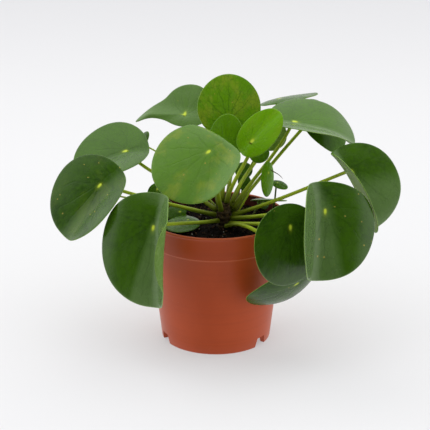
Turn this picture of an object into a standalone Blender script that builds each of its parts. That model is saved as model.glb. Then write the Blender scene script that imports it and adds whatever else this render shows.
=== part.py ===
"""Potted pilea: a round-leaved house plant in a terracotta-coloured nursery pot.

Lengths in the tables are millimetres and angles are degrees, measured from the pot's axis
on the floor. +X is the plant's right, +Y its back and +Z up.
"""

import math
import random

import bmesh
import bpy
from mathutils import Vector

MM = 0.001
GAP = 0.3

# Pot
POT_HEIGHT = 109.0
POT_TOP_RADIUS = 60.0
POT_BASE_RADIUS = 46.5
POT_WALL = 1.6
COLLAR_HEIGHT = 21.0
COLLAR_STEP = 0.8
LIP_WIDTH = 2.4
LIP_HEIGHT = 2.5
FLOOR_UNDERSIDE = 9.0
FLOOR_THICKNESS = 2.0
FOOT_WIDTH = 4.0
NOTCH_HEIGHT = 8.0
NOTCH_WIDTH = 13.0
NOTCH_ANGLES = (-156.0, -36.0, 84.0)
DRAIN_RADIUS = 4.0
DRAIN_RING = 27.0
DRAIN_COUNT = 6
POT_STEPS = 64

# Soil and crown
SOIL_TOP = 101.0
SOIL_DIP = 1.2
CROWN_AT = Vector((7.0, -7.0, 0.0))
CROWN_RADIUS = 6.5
CROWN_TOP = 122.0
CROWN_ROOT = 20.0

# Leaves
LEAF_THICKNESS = 0.9
ATTACH_SHARE = 0.28
EGG = 0.06
DOME = 0.05
PETIOLE_SIDES = 2
PETIOLE_SEGMENTS = 8

# Colours (linear) with their roughness
TERRACOTTA = ((0.30, 0.06, 0.022), 0.45)
PEAT = ((0.012, 0.008, 0.006), 0.95)
BARK = ((0.09, 0.05, 0.02), 0.8)
MATURE = ((0.035, 0.105, 0.015), 0.35)
YOUNG = ((0.12, 0.30, 0.01), 0.35)
STALK = ((0.16, 0.25, 0.04), 0.45)

# Each leaf: where its stalk joins it, the way its upper face looks (azimuth, elevation),
# how far its tip turns from straight downhill, and its length and width. A bend has a
# direction in the leaf (0 to the tip, 90 to the right of someone facing it, tip down), the
# distance from the stalk where it begins, its radius (negative rolls it forward, toward its
# upper face) and how far round it goes. A stalk leaves the crown at an azimuth and a height
# and climbs at an angle, by way of any points in its route; a rooted one starts from the
# soil at a place of its own. A beak is a part of the margin that is drawn out: toward an
# angle, by a length, and spread over an angle.
LEAVES = {
    "front_left": dict(at=(-50, -70, 124), face=(-108, 12), turn=-6, size=(94, 94),
                       bends=((96, 34, -6, 55), (96, 0, -8, 69), (-90, 25, 60, 25)),
                       stalk=(-140, 107, 10)),
    "far_left": dict(at=(-95, -22, 143), face=(-115, 28), turn=-35, size=(75, 76),
                     bends=((90, 0, -20, 44),), stalk=(-172, 111, 15)),
    "behind_far_left": dict(at=(-99, 12, 126), face=(-115, 35), turn=-30, size=(34, 32),
                            bends=((0, 10, 60, 30),), stalk=(162, 109, 20)),
    "left_upper": dict(at=(-77, 45, 151), face=(-115, 55), turn=-62, size=(70, 80),
                       bends=((90, 0, -12, 30),), stalk=(150, 113, 30)),
    "behind_left": dict(at=(-67, 72, 149), face=(-150, 20), turn=150, size=(20, 13),
                        bends=(), stalk=(122, 112, 30)),
    "back_left_top": dict(at=(-28, 98, 168), face=(-100, 60), turn=172, size=(45, 46),
                          beak=(110, 31, 18), bends=((0, 0, -30, 20), (100, 30, 12, 35)),
                          stalk=(128, 117, 50)),
    "top_centre": dict(at=(11, 20, 186), face=(-90, 20), turn=180, size=(54, 54),
                       bends=(), stalk=(106, 121, 75)),
    "centre_front": dict(at=(-5, -35, 176), face=(-100, 45), turn=-45, size=(73, 74),
                         bends=((195, 13, 9, 55), (110, 8, -25, 45)), stalk=(-113, 117, 70)),
    "young_left": dict(at=(7, 4, 166), face=(-105, 10), turn=175, size=(40, 30),
                       bends=(), stalk=(140, 122, 85)),
    "young_right": dict(at=(29, -8, 175), face=(-120, 25), turn=145, size=(48, 30),
                        bends=((90, 0, -10, 30),), stalk=(-40, 122, 80)),
    "right_top": dict(at=(65, 26, 183), face=(-70, 67), turn=66, size=(83, 82),
                      bends=((-90, 0, -12, 38), (0, 25, 60, 25)), stalk=(10, 116, 50)),
    "back_right_edge": dict(at=(55, 88, 185.5), face=(135, 75), turn=-100, size=(54, 50),
                            bends=(), stalk=(74, 117.5, 60), route=((21, 46, 152),)),
    "behind_right": dict(at=(88, 62, 180), face=(-40, 45), turn=10, size=(56, 50),
                         bends=((0, 15, 60, 30),), stalk=(28, 112, 35)),
    "far_right": dict(at=(111, -21, 154.8), face=(-75, 25), turn=25, size=(76, 74),
                      bends=((-90, 0, -6, 90), (0, 30, 60, 30)), stalk=(-12, 111, 20)),
    "front_right": dict(at=(86.5, -76, 140), face=(-75, 15), turn=-4, size=(80, 97),
                        bends=((-90, 0, -13, 67), (90, 20, 60, 30)), stalk=(-30, 109, 15)),
    "front_right_low": dict(at=(59, -80, 128), face=(-65, 12), turn=-5, size=(70, 61),
                            share=0.25, bends=((0, 20, 80, 30),), stalk=(-44, 105, 15)),
    "lowest_right": dict(at=(67, -62, 71), face=(-56, -35), turn=-50, size=(64, 54),
                         bends=((0, 10, 80, 20),), stalk=(-75, 103, 20),
                         route=((24, -46, 115), (37, -55, 111), (52, -56, 97))),
    "back_centre": dict(at=(46.5, 56, 158), face=(80, 20), turn=180, size=(40, 32),
                        bends=((0, 10, 60, 30),), stalk=(50, 114, 60)),
    "back_small": dict(at=(36, 8, 164), face=(-90, 30), turn=0, size=(17, 18),
                       bends=(), stalk=(5, 121, 65)),
    "hanging_bud": dict(at=(44, -2, 147), face=(-60, 0), turn=0, size=(32, 13),
                        bends=(), stalk=(8, 107, 50)),
    "right_small": dict(at=(52, 22, 130), face=(-60, 75), turn=20, size=(16, 12),
                        bends=(), root=(48, 24), stalk=(0, 0, 70)),
    "right_flat": dict(at=(38, 14, 118), face=(90, 68), turn=-90, size=(32, 20),
                       bends=(), root=(30, 10), stalk=(0, 0, 60)),
    "right_dark": dict(at=(40, 29, 111), face=(-60, 45), turn=0, size=(12, 11),
                       bends=(), root=(36, 33), stalk=(0, 0, 60)),
    "soil_left_front": dict(at=(-23, -8, 107), face=(-95, 82), turn=-40, size=(32, 28),
                            bends=(), root=(-15, -8), stalk=(0, 0, 30)),
    "soil_left_back": dict(at=(-30, 6, 109), face=(-100, 45), turn=-80, size=(18, 16),
                           bends=(), root=(-24, 12), stalk=(0, 0, 60)),
    "back_striped": dict(at=(24, 32, 130), face=(-80, 30), turn=10, size=(18, 12),
                         bends=(), root=(20, 24), stalk=(0, 0, 60)),
    "back_dark": dict(at=(24, 44, 137), face=(-90, 40), turn=0, size=(16, 16),
                      bends=(), root=(16, 36), stalk=(0, 0, 60)),
    "left_hidden": dict(at=(-50, 20, 125), face=(-110, 35), turn=0, size=(20, 18),
                        bends=(), root=(-30, 22), stalk=(0, 0, 50)),
}
YOUNG_LEAVES = ("top_centre", "young_left", "young_right", "hanging_bud")
SMALL_LEAF = 35.0


def clear_scene():
    for obj in list(bpy.data.objects):
        bpy.data.objects.remove(obj, do_unlink=True)


def make_collection(name):
    collection = bpy.data.collections.new(name)
    bpy.context.scene.collection.children.link(collection)
    return collection


def make_material(name, look, metallic=0.0):
    colour, roughness = look
    material = bpy.data.materials.new(name)
    material.use_nodes = True
    shader = material.node_tree.nodes["Principled BSDF"]
    shader.inputs["Base Color"].default_value = (*colour, 1.0)
    shader.inputs["Roughness"].default_value = roughness
    shader.inputs["Metallic"].default_value = metallic
    return material


def add_object(name, data, collection, parent, look=None):
    obj = bpy.data.objects.new(name, data)
    collection.objects.link(obj)
    obj.parent = parent
    if look:
        data.materials.append(make_material(name + "_material", look))
    return obj


def turned_mesh(name, profile, steps):
    """A closed body turned about Z from (radius, height) points, top inside to bottom."""
    bm = bmesh.new()
    verts = [bm.verts.new((r * MM, 0.0, z * MM)) for r, z in profile]
    edges = [bm.edges.new(pair) for pair in zip(verts, verts[1:])]
    if profile[0][0] > 0.0:
        edges.append(bm.edges.new((verts[-1], verts[0])))
    bmesh.ops.spin(bm, geom=verts + edges, axis=(0, 0, 1), cent=(0, 0, 0),
                   angle=math.tau, steps=steps, use_merge=True)
    bmesh.ops.remove_doubles(bm, verts=bm.verts, dist=1e-6)
    bmesh.ops.recalc_face_normals(bm, faces=bm.faces)
    mesh = bpy.data.meshes.new(name)
    bm.to_mesh(mesh)
    bm.free()
    mesh.shade_smooth()
    return mesh


def wall_radius(height):
    """Outer radius of the pot's tapered wall, without its collar."""
    share = height / POT_HEIGHT
    return POT_BASE_RADIUS + (POT_TOP_RADIUS - COLLAR_STEP - POT_BASE_RADIUS) * share


def inner_radius(height):
    return wall_radius(height) - POT_WALL


def pot_profile():
    collar = POT_HEIGHT - COLLAR_HEIGHT
    lip = POT_HEIGHT - LIP_HEIGHT
    floor_top = FLOOR_UNDERSIDE + FLOOR_THICKNESS
    return [
        (0.0, floor_top),
        (inner_radius(floor_top) - 2.0, floor_top),
        (inner_radius(floor_top + 2.0), floor_top + 2.0),
        (inner_radius(lip), lip),
        (POT_TOP_RADIUS - LIP_WIDTH, POT_HEIGHT - 0.5),
        (POT_TOP_RADIUS - LIP_WIDTH + 0.5, POT_HEIGHT),
        (POT_TOP_RADIUS - 0.5, POT_HEIGHT),
        (POT_TOP_RADIUS, POT_HEIGHT - 0.6),
        (POT_TOP_RADIUS, lip),
        (POT_TOP_RADIUS - 0.5, lip - 0.6),
        (wall_radius(collar) + COLLAR_STEP, collar + 0.5),
        (wall_radius(collar), collar - 0.5),
        (wall_radius(1.0), 1.0),
        (POT_BASE_RADIUS - 1.0, 0.0),
        (POT_BASE_RADIUS - FOOT_WIDTH, 0.0),
        (POT_BASE_RADIUS - FOOT_WIDTH - 0.5, FLOOR_UNDERSIDE),
        (0.0, FLOOR_UNDERSIDE),
    ]


def add_notch_cutter(angle, cutters, parent):
    """A wedge, narrower at its top, that opens a gap between two feet."""
    bm = bmesh.new()
    bmesh.ops.create_cube(bm, size=1.0)
    for vert in bm.verts:
        top = vert.co.z > 0
        vert.co.x *= 16.0 * MM
        vert.co.y *= NOTCH_WIDTH * (0.75 if top else 1.25) * MM
        vert.co.z = NOTCH_HEIGHT * MM if top else -NOTCH_HEIGHT * 0.5 * MM
    mesh = bpy.data.meshes.new("notch_cutter")
    bm.to_mesh(mesh)
    bm.free()
    obj = add_object("notch_cutter", mesh, cutters, parent)
    turn = math.radians(angle)
    reach = (POT_BASE_RADIUS - 2.0) * MM
    obj.location = (reach * math.cos(turn), reach * math.sin(turn), 0.0)
    obj.rotation_euler.z = turn


def add_cylinder(name, radius, height, cutters, parent):
    bm = bmesh.new()
    bmesh.ops.create_cone(bm, cap_ends=True, segments=16, radius1=radius * MM,
                          radius2=radius * MM, depth=height * MM)
    mesh = bpy.data.meshes.new(name)
    bm.to_mesh(mesh)
    bm.free()
    return add_object(name, mesh, cutters, parent)


def add_drain_cutter(angle, cutters, parent):
    obj = add_cylinder("drain_cutter", DRAIN_RADIUS, 8.0, cutters, parent)
    turn = math.radians(angle)
    middle = FLOOR_UNDERSIDE + FLOOR_THICKNESS / 2
    obj.location = (DRAIN_RING * MM * math.cos(turn), DRAIN_RING * MM * math.sin(turn),
                    middle * MM)


def make_pot(parts, cutters, parent):
    mesh = turned_mesh("pot", pot_profile(), POT_STEPS)
    pot = add_object("pot", mesh, parts, parent, TERRACOTTA)
    for angle in NOTCH_ANGLES:
        add_notch_cutter(angle, cutters, parent)
    for index in range(DRAIN_COUNT):
        add_drain_cutter(index * 360.0 / DRAIN_COUNT, cutters, parent)
    for cutter in cutters.objects:
        cut = pot.modifiers.new(cutter.name, "BOOLEAN")
        cut.object = cutter
        cut.operation = "DIFFERENCE"
        cut.solver = "EXACT"


def make_soil(parts, cutters, parent):
    """Soil that fills the pot up to just below its rim, with a hole for the root stock."""
    floor_top = FLOOR_UNDERSIDE + FLOOR_THICKNESS + GAP
    shoulder = inner_radius(SOIL_TOP) - GAP
    profile = [
        (0.0, SOIL_TOP),
        (10.0, SOIL_TOP),
        (20.0, SOIL_TOP),
        (33.0, SOIL_TOP),
        (45.0, SOIL_TOP),
        (shoulder - 3.0, SOIL_TOP - 0.5),
        (shoulder - 0.3, SOIL_TOP - 3.0),
        (inner_radius(floor_top + 3.0) - GAP, floor_top + 3.0),
        (inner_radius(floor_top) - 3.5, floor_top),
        (0.0, floor_top),
    ]
    mesh = turned_mesh("soil", profile, 48)
    dice = random.Random(11)
    for vert in mesh.vertices:
        if vert.co.z > (SOIL_TOP - 0.7) * MM:
            vert.co.z -= dice.random() * SOIL_DIP * MM
    soil = add_object("soil", mesh, parts, parent, PEAT)
    hole = add_cylinder("root_hole", CROWN_RADIUS + GAP, (CROWN_ROOT + GAP) * 2, cutters, parent)
    hole.location = (CROWN_AT + Vector((0.0, 0.0, SOIL_TOP))) * MM
    cut = soil.modifiers.new("Root hole", "BOOLEAN")
    cut.object = hole
    cut.operation = "DIFFERENCE"
    cut.solver = "EXACT"


def make_crown(parts, parent):
    """The short woody stem, ringed by old leaf scars, with its stub in the soil."""
    bottom = SOIL_TOP - CROWN_ROOT
    profile = [(0.0, CROWN_TOP), (3.0, CROWN_TOP - 0.5), (CROWN_RADIUS - 1.5, CROWN_TOP - 3)]
    rings = 4
    for index in range(rings):
        z = CROWN_TOP - 4.0 - index * 4.0
        profile.append((CROWN_RADIUS - 1.0, z))
        profile.append((CROWN_RADIUS, z - 2.0))
    profile += [(CROWN_RADIUS, bottom + 3.0), (3.0, bottom), (0.0, bottom)]
    mesh = turned_mesh("crown", profile, 16)
    crown = add_object("crown", mesh, parts, parent, BARK)
    crown.location = CROWN_AT * MM


def leaf_frame(leaf):
    """The way a leaf faces, the direction to its tip and the direction across it."""
    azimuth, elevation = (math.radians(angle) for angle in leaf["face"])
    turn = math.radians(leaf["turn"])
    flat = Vector((math.cos(azimuth), math.sin(azimuth), 0.0))
    up = Vector((0.0, 0.0, 1.0))
    normal = flat * math.cos(elevation) + up * math.sin(elevation)
    downhill = flat * math.sin(elevation) - up * math.cos(elevation)
    tip = downhill * math.cos(turn) + normal.cross(downhill) * math.sin(turn)
    return normal, tip, normal.cross(tip)


def outline_point(leaf, angle, share):
    """A point of the flat blade; share runs from the stalk (0) to the margin (1)."""
    length, width = leaf["size"]
    along = length / 2 * math.cos(angle)
    egg = leaf.get("egg", EGG)
    across = width / 2 * math.sin(angle) * (1.0 - egg * math.cos(angle))
    along += length * (0.5 - leaf.get("share", ATTACH_SHARE))
    if "beak" in leaf:
        toward, reach, spread = leaf["beak"]
        pull = reach * math.exp(-((math.degrees(angle) - toward) / spread) ** 2)
        along += pull * math.cos(math.radians(toward))
        across += pull * math.sin(math.radians(toward))
    return Vector((along * share, across * share, 0.0))


def bend(point, direction, start, radius, limit):
    """Roll the blade round a cylinder lying across a direction, then let it run straight.

    A negative radius rolls it forward, toward its upper face.
    """
    angle = math.radians(direction)
    way = Vector((math.cos(angle), math.sin(angle), 0.0))
    run = point.dot(way) - start
    if run <= 0.0:
        return point
    side = math.copysign(1.0, radius)
    reach = abs(radius)
    turn = min(run / reach, math.radians(limit))
    straight = run - reach * turn
    arm = reach + side * point.z
    rolled = arm * math.sin(turn) + straight * math.cos(turn)
    rise = side * (arm * math.cos(turn) - straight * math.sin(turn) - reach)
    return Vector((point.x, point.y, 0.0)) + way * (rolled - run) + Vector((0, 0, rise))


def blade_point(leaf, angle, share):
    point = outline_point(leaf, angle, share)
    point.z -= DOME * leaf["size"][0] * share * share
    for shape in leaf["bends"]:
        point = bend(point, *shape)
    normal, tip, across = leaf_frame(leaf)
    return Vector(leaf["at"]) + tip * point.x + across * point.y + normal * point.z


def make_leaf(name, leaf, parts, parent):
    small = leaf["size"][0] < SMALL_LEAF
    steps = 14 if small else 24
    rings = 2 if small else 4
    bm = bmesh.new()
    spokes = [bm.verts.new((ring / rings, 0.0, 0.0)) for ring in range(rings + 1)]
    edges = [bm.edges.new(pair) for pair in zip(spokes, spokes[1:])]
    bmesh.ops.spin(bm, geom=spokes + edges, axis=(0, 0, 1), cent=(0, 0, 0),
                   angle=math.tau, steps=steps, use_merge=True)
    bmesh.ops.remove_doubles(bm, verts=bm.verts, dist=1e-5)
    bmesh.ops.recalc_face_normals(bm, faces=bm.faces)
    bm.normal_update()
    if sum(face.normal.z for face in bm.faces) < 0:
        bmesh.ops.reverse_faces(bm, faces=bm.faces)
    for vert in bm.verts:
        share = vert.co.length
        angle = math.atan2(vert.co.y, vert.co.x)
        vert.co = blade_point(leaf, angle, share) * MM
    mesh = bpy.data.meshes.new("leaf_" + name)
    bm.to_mesh(mesh)
    bm.free()
    mesh.shade_smooth()
    look = YOUNG if name in YOUNG_LEAVES else MATURE
    obj = add_object("leaf_" + name, mesh, parts, parent, look)
    thick = obj.modifiers.new("Thickness", "SOLIDIFY")
    thick.thickness = LEAF_THICKNESS * MM
    thick.offset = -1.0


def stalk_start(leaf):
    """Where a stalk begins: at the crown's side, on its top or in the soil."""
    if "root" in leaf:
        return Vector((*leaf["root"], SOIL_TOP + GAP))
    azimuth, height = leaf["stalk"][:2]
    on_top = height >= CROWN_TOP
    reach = 2.4 if on_top else CROWN_RADIUS + GAP + 0.4
    turn = math.radians(azimuth)
    away = Vector((math.cos(turn), math.sin(turn), 0.0)) * reach
    away.z = height + GAP if on_top else height
    return CROWN_AT + away


def stalk_points(leaf):
    """Bezier points of a stalk, from the crown or the soil to the back of its leaf."""
    normal = leaf_frame(leaf)[0]
    at = Vector(leaf["at"])
    start = stalk_start(leaf)
    target = Vector(leaf["route"][0]) if "route" in leaf else at
    last = Vector(leaf["route"][-1]) if "route" in leaf else start
    arrive = ((at - last).normalized() + normal * 1.5).normalized()
    tilt = math.sqrt(1.0 - min(1.0, arrive.dot(normal)) ** 2)
    end = at - normal * (LEAF_THICKNESS + GAP + tilt * stalk_radius(leaf))
    flat = Vector((target.x - start.x, target.y - start.y, 0.0)).normalized()
    climb = math.radians(leaf["stalk"][2])
    leave = flat * math.cos(climb) + Vector((0.0, 0.0, math.sin(climb)))
    first = start + leave * (target - start).length * 0.35
    return start, first, end - arrive * (end - last).length * 0.3, end


def stalk_radius(leaf):
    return 0.8 if leaf["size"][0] < SMALL_LEAF else 1.6


def make_stalk(name, leaf, parts, parent):
    start, leave, arrive, end = (point * MM for point in stalk_points(leaf))
    curve = bpy.data.curves.new("petiole_" + name, "CURVE")
    curve.dimensions = "3D"
    curve.resolution_u = PETIOLE_SEGMENTS
    curve.bevel_depth = stalk_radius(leaf) * MM
    curve.bevel_resolution = PETIOLE_SIDES
    curve.use_fill_caps = True
    spline = curve.splines.new("BEZIER")
    route = [Vector(point) * MM for point in leaf.get("route", ())]
    spline.bezier_points.add(1 + len(route))
    for knot, place in zip(spline.bezier_points, [start, *route, end]):
        knot.co = place
        knot.handle_left_type = knot.handle_right_type = "AUTO"
    first, last = spline.bezier_points[0], spline.bezier_points[-1]
    first.handle_left_type = first.handle_right_type = "FREE"
    last.handle_left_type = last.handle_right_type = "FREE"
    first.handle_left = start + (start - leave) * 0.5
    first.handle_right = leave
    last.handle_left = arrive
    last.handle_right = end + (end - arrive) * 0.5
    last.radius = 0.8
    add_object("petiole_" + name, curve, parts, parent, STALK)


def centre_on_floor(root, parts):
    """Move the plant so that the middle of its box, at floor level, is the origin."""
    bpy.context.view_layer.update()
    graph = bpy.context.evaluated_depsgraph_get()
    corners = []
    for obj in parts.objects:
        if obj.type == "EMPTY":
            continue
        seen = obj.evaluated_get(graph)
        mesh = seen.to_mesh()
        corners += [seen.matrix_world @ vert.co for vert in mesh.vertices]
        seen.to_mesh_clear()
    low = [min(corner[axis] for corner in corners) for axis in range(3)]
    high = [max(corner[axis] for corner in corners) for axis in range(3)]
    root.location = (-(low[0] + high[0]) / 2, -(low[1] + high[1]) / 2, -low[2])


def main():
    clear_scene()
    parts = make_collection("potted_pilea")
    cutters = make_collection("cutters")
    root = bpy.data.objects.new("plant_base", None)
    parts.objects.link(root)
    make_pot(parts, cutters, root)
    make_soil(parts, cutters, root)
    make_crown(parts, root)
    for name, leaf in LEAVES.items():
        make_leaf(name, leaf, parts, root)
        make_stalk(name, leaf, parts, root)
    for cutter in cutters.objects:
        cutter.display_type = "WIRE"
        cutter.hide_render = True
    centre_on_floor(root, parts)


main()
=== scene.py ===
"""Looks of the potted pilea: leaves, stalks, crown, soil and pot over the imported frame.

Lengths in the tables are millimetres and angles are degrees, measured from the pot's axis
on the floor. +X is the plant's right, +Y its back and +Z up.
"""

import math
import random

import bmesh
import bpy
from mathutils import Matrix, Vector, noise


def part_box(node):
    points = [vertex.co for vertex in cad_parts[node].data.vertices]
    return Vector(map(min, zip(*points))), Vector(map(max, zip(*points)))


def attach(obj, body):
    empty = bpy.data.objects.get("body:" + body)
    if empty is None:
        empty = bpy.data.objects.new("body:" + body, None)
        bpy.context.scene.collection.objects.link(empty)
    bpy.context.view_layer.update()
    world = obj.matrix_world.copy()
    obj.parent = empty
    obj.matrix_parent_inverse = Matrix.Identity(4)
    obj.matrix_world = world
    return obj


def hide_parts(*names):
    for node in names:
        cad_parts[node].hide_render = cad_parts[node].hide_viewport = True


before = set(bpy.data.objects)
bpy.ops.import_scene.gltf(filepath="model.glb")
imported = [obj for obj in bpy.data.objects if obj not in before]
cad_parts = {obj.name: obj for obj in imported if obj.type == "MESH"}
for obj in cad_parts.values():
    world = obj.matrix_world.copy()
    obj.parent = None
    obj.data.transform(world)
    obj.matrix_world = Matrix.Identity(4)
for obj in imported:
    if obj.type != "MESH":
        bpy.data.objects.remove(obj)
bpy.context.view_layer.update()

MM = 0.001
GAP = 0.3

# Pot
POT_HEIGHT = 109.0
POT_TOP_RADIUS = 60.0
POT_BASE_RADIUS = 46.5
POT_WALL = 1.6
COLLAR_HEIGHT = 21.0
COLLAR_STEP = 0.8
LIP_WIDTH = 2.4
LIP_HEIGHT = 2.5
FLOOR_UNDERSIDE = 9.0
FLOOR_THICKNESS = 2.0
FOOT_WIDTH = 4.0
NOTCH_HEIGHT = 8.0
NOTCH_WIDTH = 13.0
NOTCH_DEPTH = 16.0
NOTCH_FLARE = 0.25
NOTCH_ANGLES = (-156.0, -36.0, 84.0)
DRAIN_RADIUS = 4.0
DRAIN_RING = 27.0
DRAIN_COUNT = 6

# Soil and crown
SOIL_TOP = 101.0
CROWN_AT = Vector((7.0, -7.0, 0.0))
CROWN_RADIUS = 6.5
CROWN_TOP = 122.0
CROWN_ROOT = 8.0
CROWN_TOP_REACH = 2.4
SCAR_SPACING = 4.2
SCAR_HEIGHT = 0.6
SCALE_COUNT = 22
SCALE_SPACING = 0.82
GOLDEN_ANGLE = 137.5
SWELL_SPAN, SWELL_HEIGHT = 16.0, 1.2
CRUMBLE_SPAN, CRUMBLE_HEIGHT = 3.2, 0.9
MOUND_SPAN, MOUND_HEIGHT = 14.0, 1.2
CRUMB_COUNT = 1500
WHITE_GRAINS = 26
BROWN_SHARE = 0.42

# Leaves
LEAF_THICKNESS = 0.9
ATTACH_SHARE = 0.28
EGG = 0.06
DOME = 0.05
SMALL_LEAF = 35
MAIN_VEINS = (0.0, 0.2, 0.43, 0.7, 1.0)  # as shares of half a turn from the tip
VEIN_SWEEP = 0.10
NAVEL_SPAN, NAVEL_DEPTH = 3.2, 0.35
FURROW_SPAN, FURROW_DEPTH = 2.2, 0.10
WAVE_HEIGHT = 0.45
SMALL_RELIEF = 0.4
BLADE_GRID = (56, 18)
SMALL_BLADE_GRID = (28, 9)
DOT_AHEAD = 0.02
DOT_SLIMNESS = 1.5
UV_MIDDLE = 0.5
UV_REACH = 0.45

# Stalks
STALK_RADIUS = 1.6
THIN_STALK_RADIUS = 0.8
STALK_CLEARANCE = 0.4
STALK_TAPER = 0.12
FOOT_SWELL, ROOTED_FOOT_SWELL, FOOT_SPAN = 0.5, 0.2, 9.0
TOP_SWELL, TOP_SPAN = 0.35, 2.2
LEAVE_REACH = 0.35
ARRIVE_REACH = 0.3
ARRIVE_SQUARE = 1.5
KNOT_ROUNDNESS = 2.5614
STALK_SAMPLES = 24
STALK_SIDES = 16

# Camera and backdrop; the aim is relative to the pot's axis on the floor
AIM = Vector((-0.8, 0.0, 108.0))
CAMERA_ELEVATION = 19.8
CAMERA_DISTANCE = 1300.0
LENS = 128.8
BACKDROP = 0.95

# Each leaf: where its stalk joins it, the way its upper face looks (azimuth, elevation),
# how far its tip turns from straight downhill, and its length and width. A bend has a
# direction in the leaf (0 to the tip, 90 to the right of someone facing it, tip down), the
# distance from the stalk where it begins, its radius (negative rolls it forward, toward its
# upper face) and how far round it goes. A stalk leaves the crown at an azimuth and a height
# and climbs at an angle, by way of any points in its route; a rooted one starts from the
# soil at a place of its own. A beak is a part of the margin that is drawn out: toward an
# angle, by a length, and spread over an angle.
LEAVES = {
    "front_left": dict(at=(-50, -70, 124), face=(-108, 12), turn=-6, size=(94, 94),
                       bends=((96, 34, -6, 55), (96, 0, -8, 69), (-90, 25, 60, 25)),
                       stalk=(-140, 107, 10)),
    "far_left": dict(at=(-95, -22, 143), face=(-115, 28), turn=-35, size=(75, 76),
                     bends=((90, 0, -20, 44),), stalk=(-172, 111, 15)),
    "behind_far_left": dict(at=(-99, 12, 126), face=(-115, 35), turn=-30, size=(34, 32),
                            bends=((0, 10, 60, 30),), stalk=(162, 109, 20)),
    "left_upper": dict(at=(-77, 45, 151), face=(-115, 55), turn=-62, size=(70, 80),
                       bends=((90, 0, -12, 30),), stalk=(150, 113, 30)),
    "behind_left": dict(at=(-67, 72, 149), face=(-150, 20), turn=150, size=(20, 13),
                        bends=(), stalk=(122, 112, 30)),
    "back_left_top": dict(at=(-28, 98, 168), face=(-100, 60), turn=172, size=(45, 46),
                          beak=(110, 31, 18), bends=((0, 0, -30, 20), (100, 30, 12, 35)),
                          stalk=(128, 117, 50)),
    "top_centre": dict(at=(11, 20, 186), face=(-90, 20), turn=180, size=(54, 54),
                       bends=(), stalk=(106, 121, 75)),
    "centre_front": dict(at=(-5, -35, 176), face=(-100, 45), turn=-45, size=(73, 74),
                         bends=((195, 13, 9, 55), (110, 8, -25, 45)), stalk=(-113, 117, 70)),
    "young_left": dict(at=(7, 4, 166), face=(-105, 10), turn=175, size=(40, 30),
                       bends=(), stalk=(140, 122, 85)),
    "young_right": dict(at=(29, -8, 175), face=(-120, 25), turn=145, size=(48, 30),
                        bends=((90, 0, -10, 30),), stalk=(-40, 122, 80)),
    "right_top": dict(at=(65, 26, 183), face=(-70, 67), turn=66, size=(83, 82),
                      bends=((-90, 0, -12, 38), (0, 25, 60, 25)), stalk=(10, 116, 50)),
    "back_right_edge": dict(at=(55, 88, 185.5), face=(135, 75), turn=-100, size=(54, 50),
                            bends=(), stalk=(74, 117.5, 60), route=((21, 46, 152),)),
    "behind_right": dict(at=(88, 62, 180), face=(-40, 45), turn=10, size=(56, 50),
                         bends=((0, 15, 60, 30),), stalk=(28, 112, 35)),
    "far_right": dict(at=(111, -21, 154.8), face=(-75, 25), turn=25, size=(76, 74),
                      bends=((-90, 0, -6, 90), (0, 30, 60, 30)), stalk=(-12, 111, 20)),
    "front_right": dict(at=(86.5, -76, 140), face=(-75, 15), turn=-4, size=(80, 97),
                        bends=((-90, 0, -13, 67), (90, 20, 60, 30)), stalk=(-30, 109, 15)),
    "front_right_low": dict(at=(59, -80, 128), face=(-65, 12), turn=-5, size=(70, 61),
                            share=0.25, bends=((0, 20, 80, 30),), stalk=(-44, 105, 15)),
    "lowest_right": dict(at=(67, -62, 71), face=(-56, -35), turn=-50, size=(64, 54),
                         bends=((0, 10, 80, 20),), stalk=(-75, 103, 20),
                         route=((24, -46, 115), (37, -55, 111), (52, -56, 97))),
    "back_centre": dict(at=(46.5, 56, 158), face=(80, 20), turn=180, size=(40, 32),
                        bends=((0, 10, 60, 30),), stalk=(50, 114, 60)),
    "back_small": dict(at=(36, 8, 164), face=(-90, 30), turn=0, size=(17, 18),
                       bends=(), stalk=(5, 121, 65)),
    "hanging_bud": dict(at=(44, -2, 147), face=(-60, 0), turn=0, size=(32, 13),
                        bends=(), stalk=(8, 107, 50)),
    "right_small": dict(at=(52, 22, 130), face=(-60, 75), turn=20, size=(16, 12),
                        bends=(), root=(48, 24), stalk=(0, 0, 70)),
    "right_flat": dict(at=(38, 14, 118), face=(90, 68), turn=-90, size=(32, 20),
                       bends=(), root=(30, 10), stalk=(0, 0, 60)),
    "right_dark": dict(at=(40, 29, 111), face=(-60, 45), turn=0, size=(12, 11),
                       bends=(), root=(36, 33), stalk=(0, 0, 60)),
    "soil_left_front": dict(at=(-23, -8, 107), face=(-95, 82), turn=-40, size=(32, 28),
                            bends=(), root=(-15, -8), stalk=(0, 0, 30)),
    "soil_left_back": dict(at=(-30, 6, 109), face=(-100, 45), turn=-80, size=(18, 16),
                           bends=(), root=(-24, 12), stalk=(0, 0, 60)),
    "back_striped": dict(at=(24, 32, 130), face=(-80, 30), turn=10, size=(18, 12),
                         bends=(), root=(20, 24), stalk=(0, 0, 60)),
    "back_dark": dict(at=(24, 44, 137), face=(-90, 40), turn=0, size=(16, 16),
                      bends=(), root=(16, 36), stalk=(0, 0, 60)),
    "left_hidden": dict(at=(-50, 20, 125), face=(-110, 35), turn=0, size=(20, 18),
                        bends=(), root=(-30, 22), stalk=(0, 0, 50)),
}

# The tendril that hangs from the opening bud: its course and its radii.
TENDRIL = ((45, -4, 150), (49, -5, 147.5), (53, -5, 145.5), (56, -5, 141.5))
TENDRIL_RADII = (0.55, 0.45, 0.35, 0.15)

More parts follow.
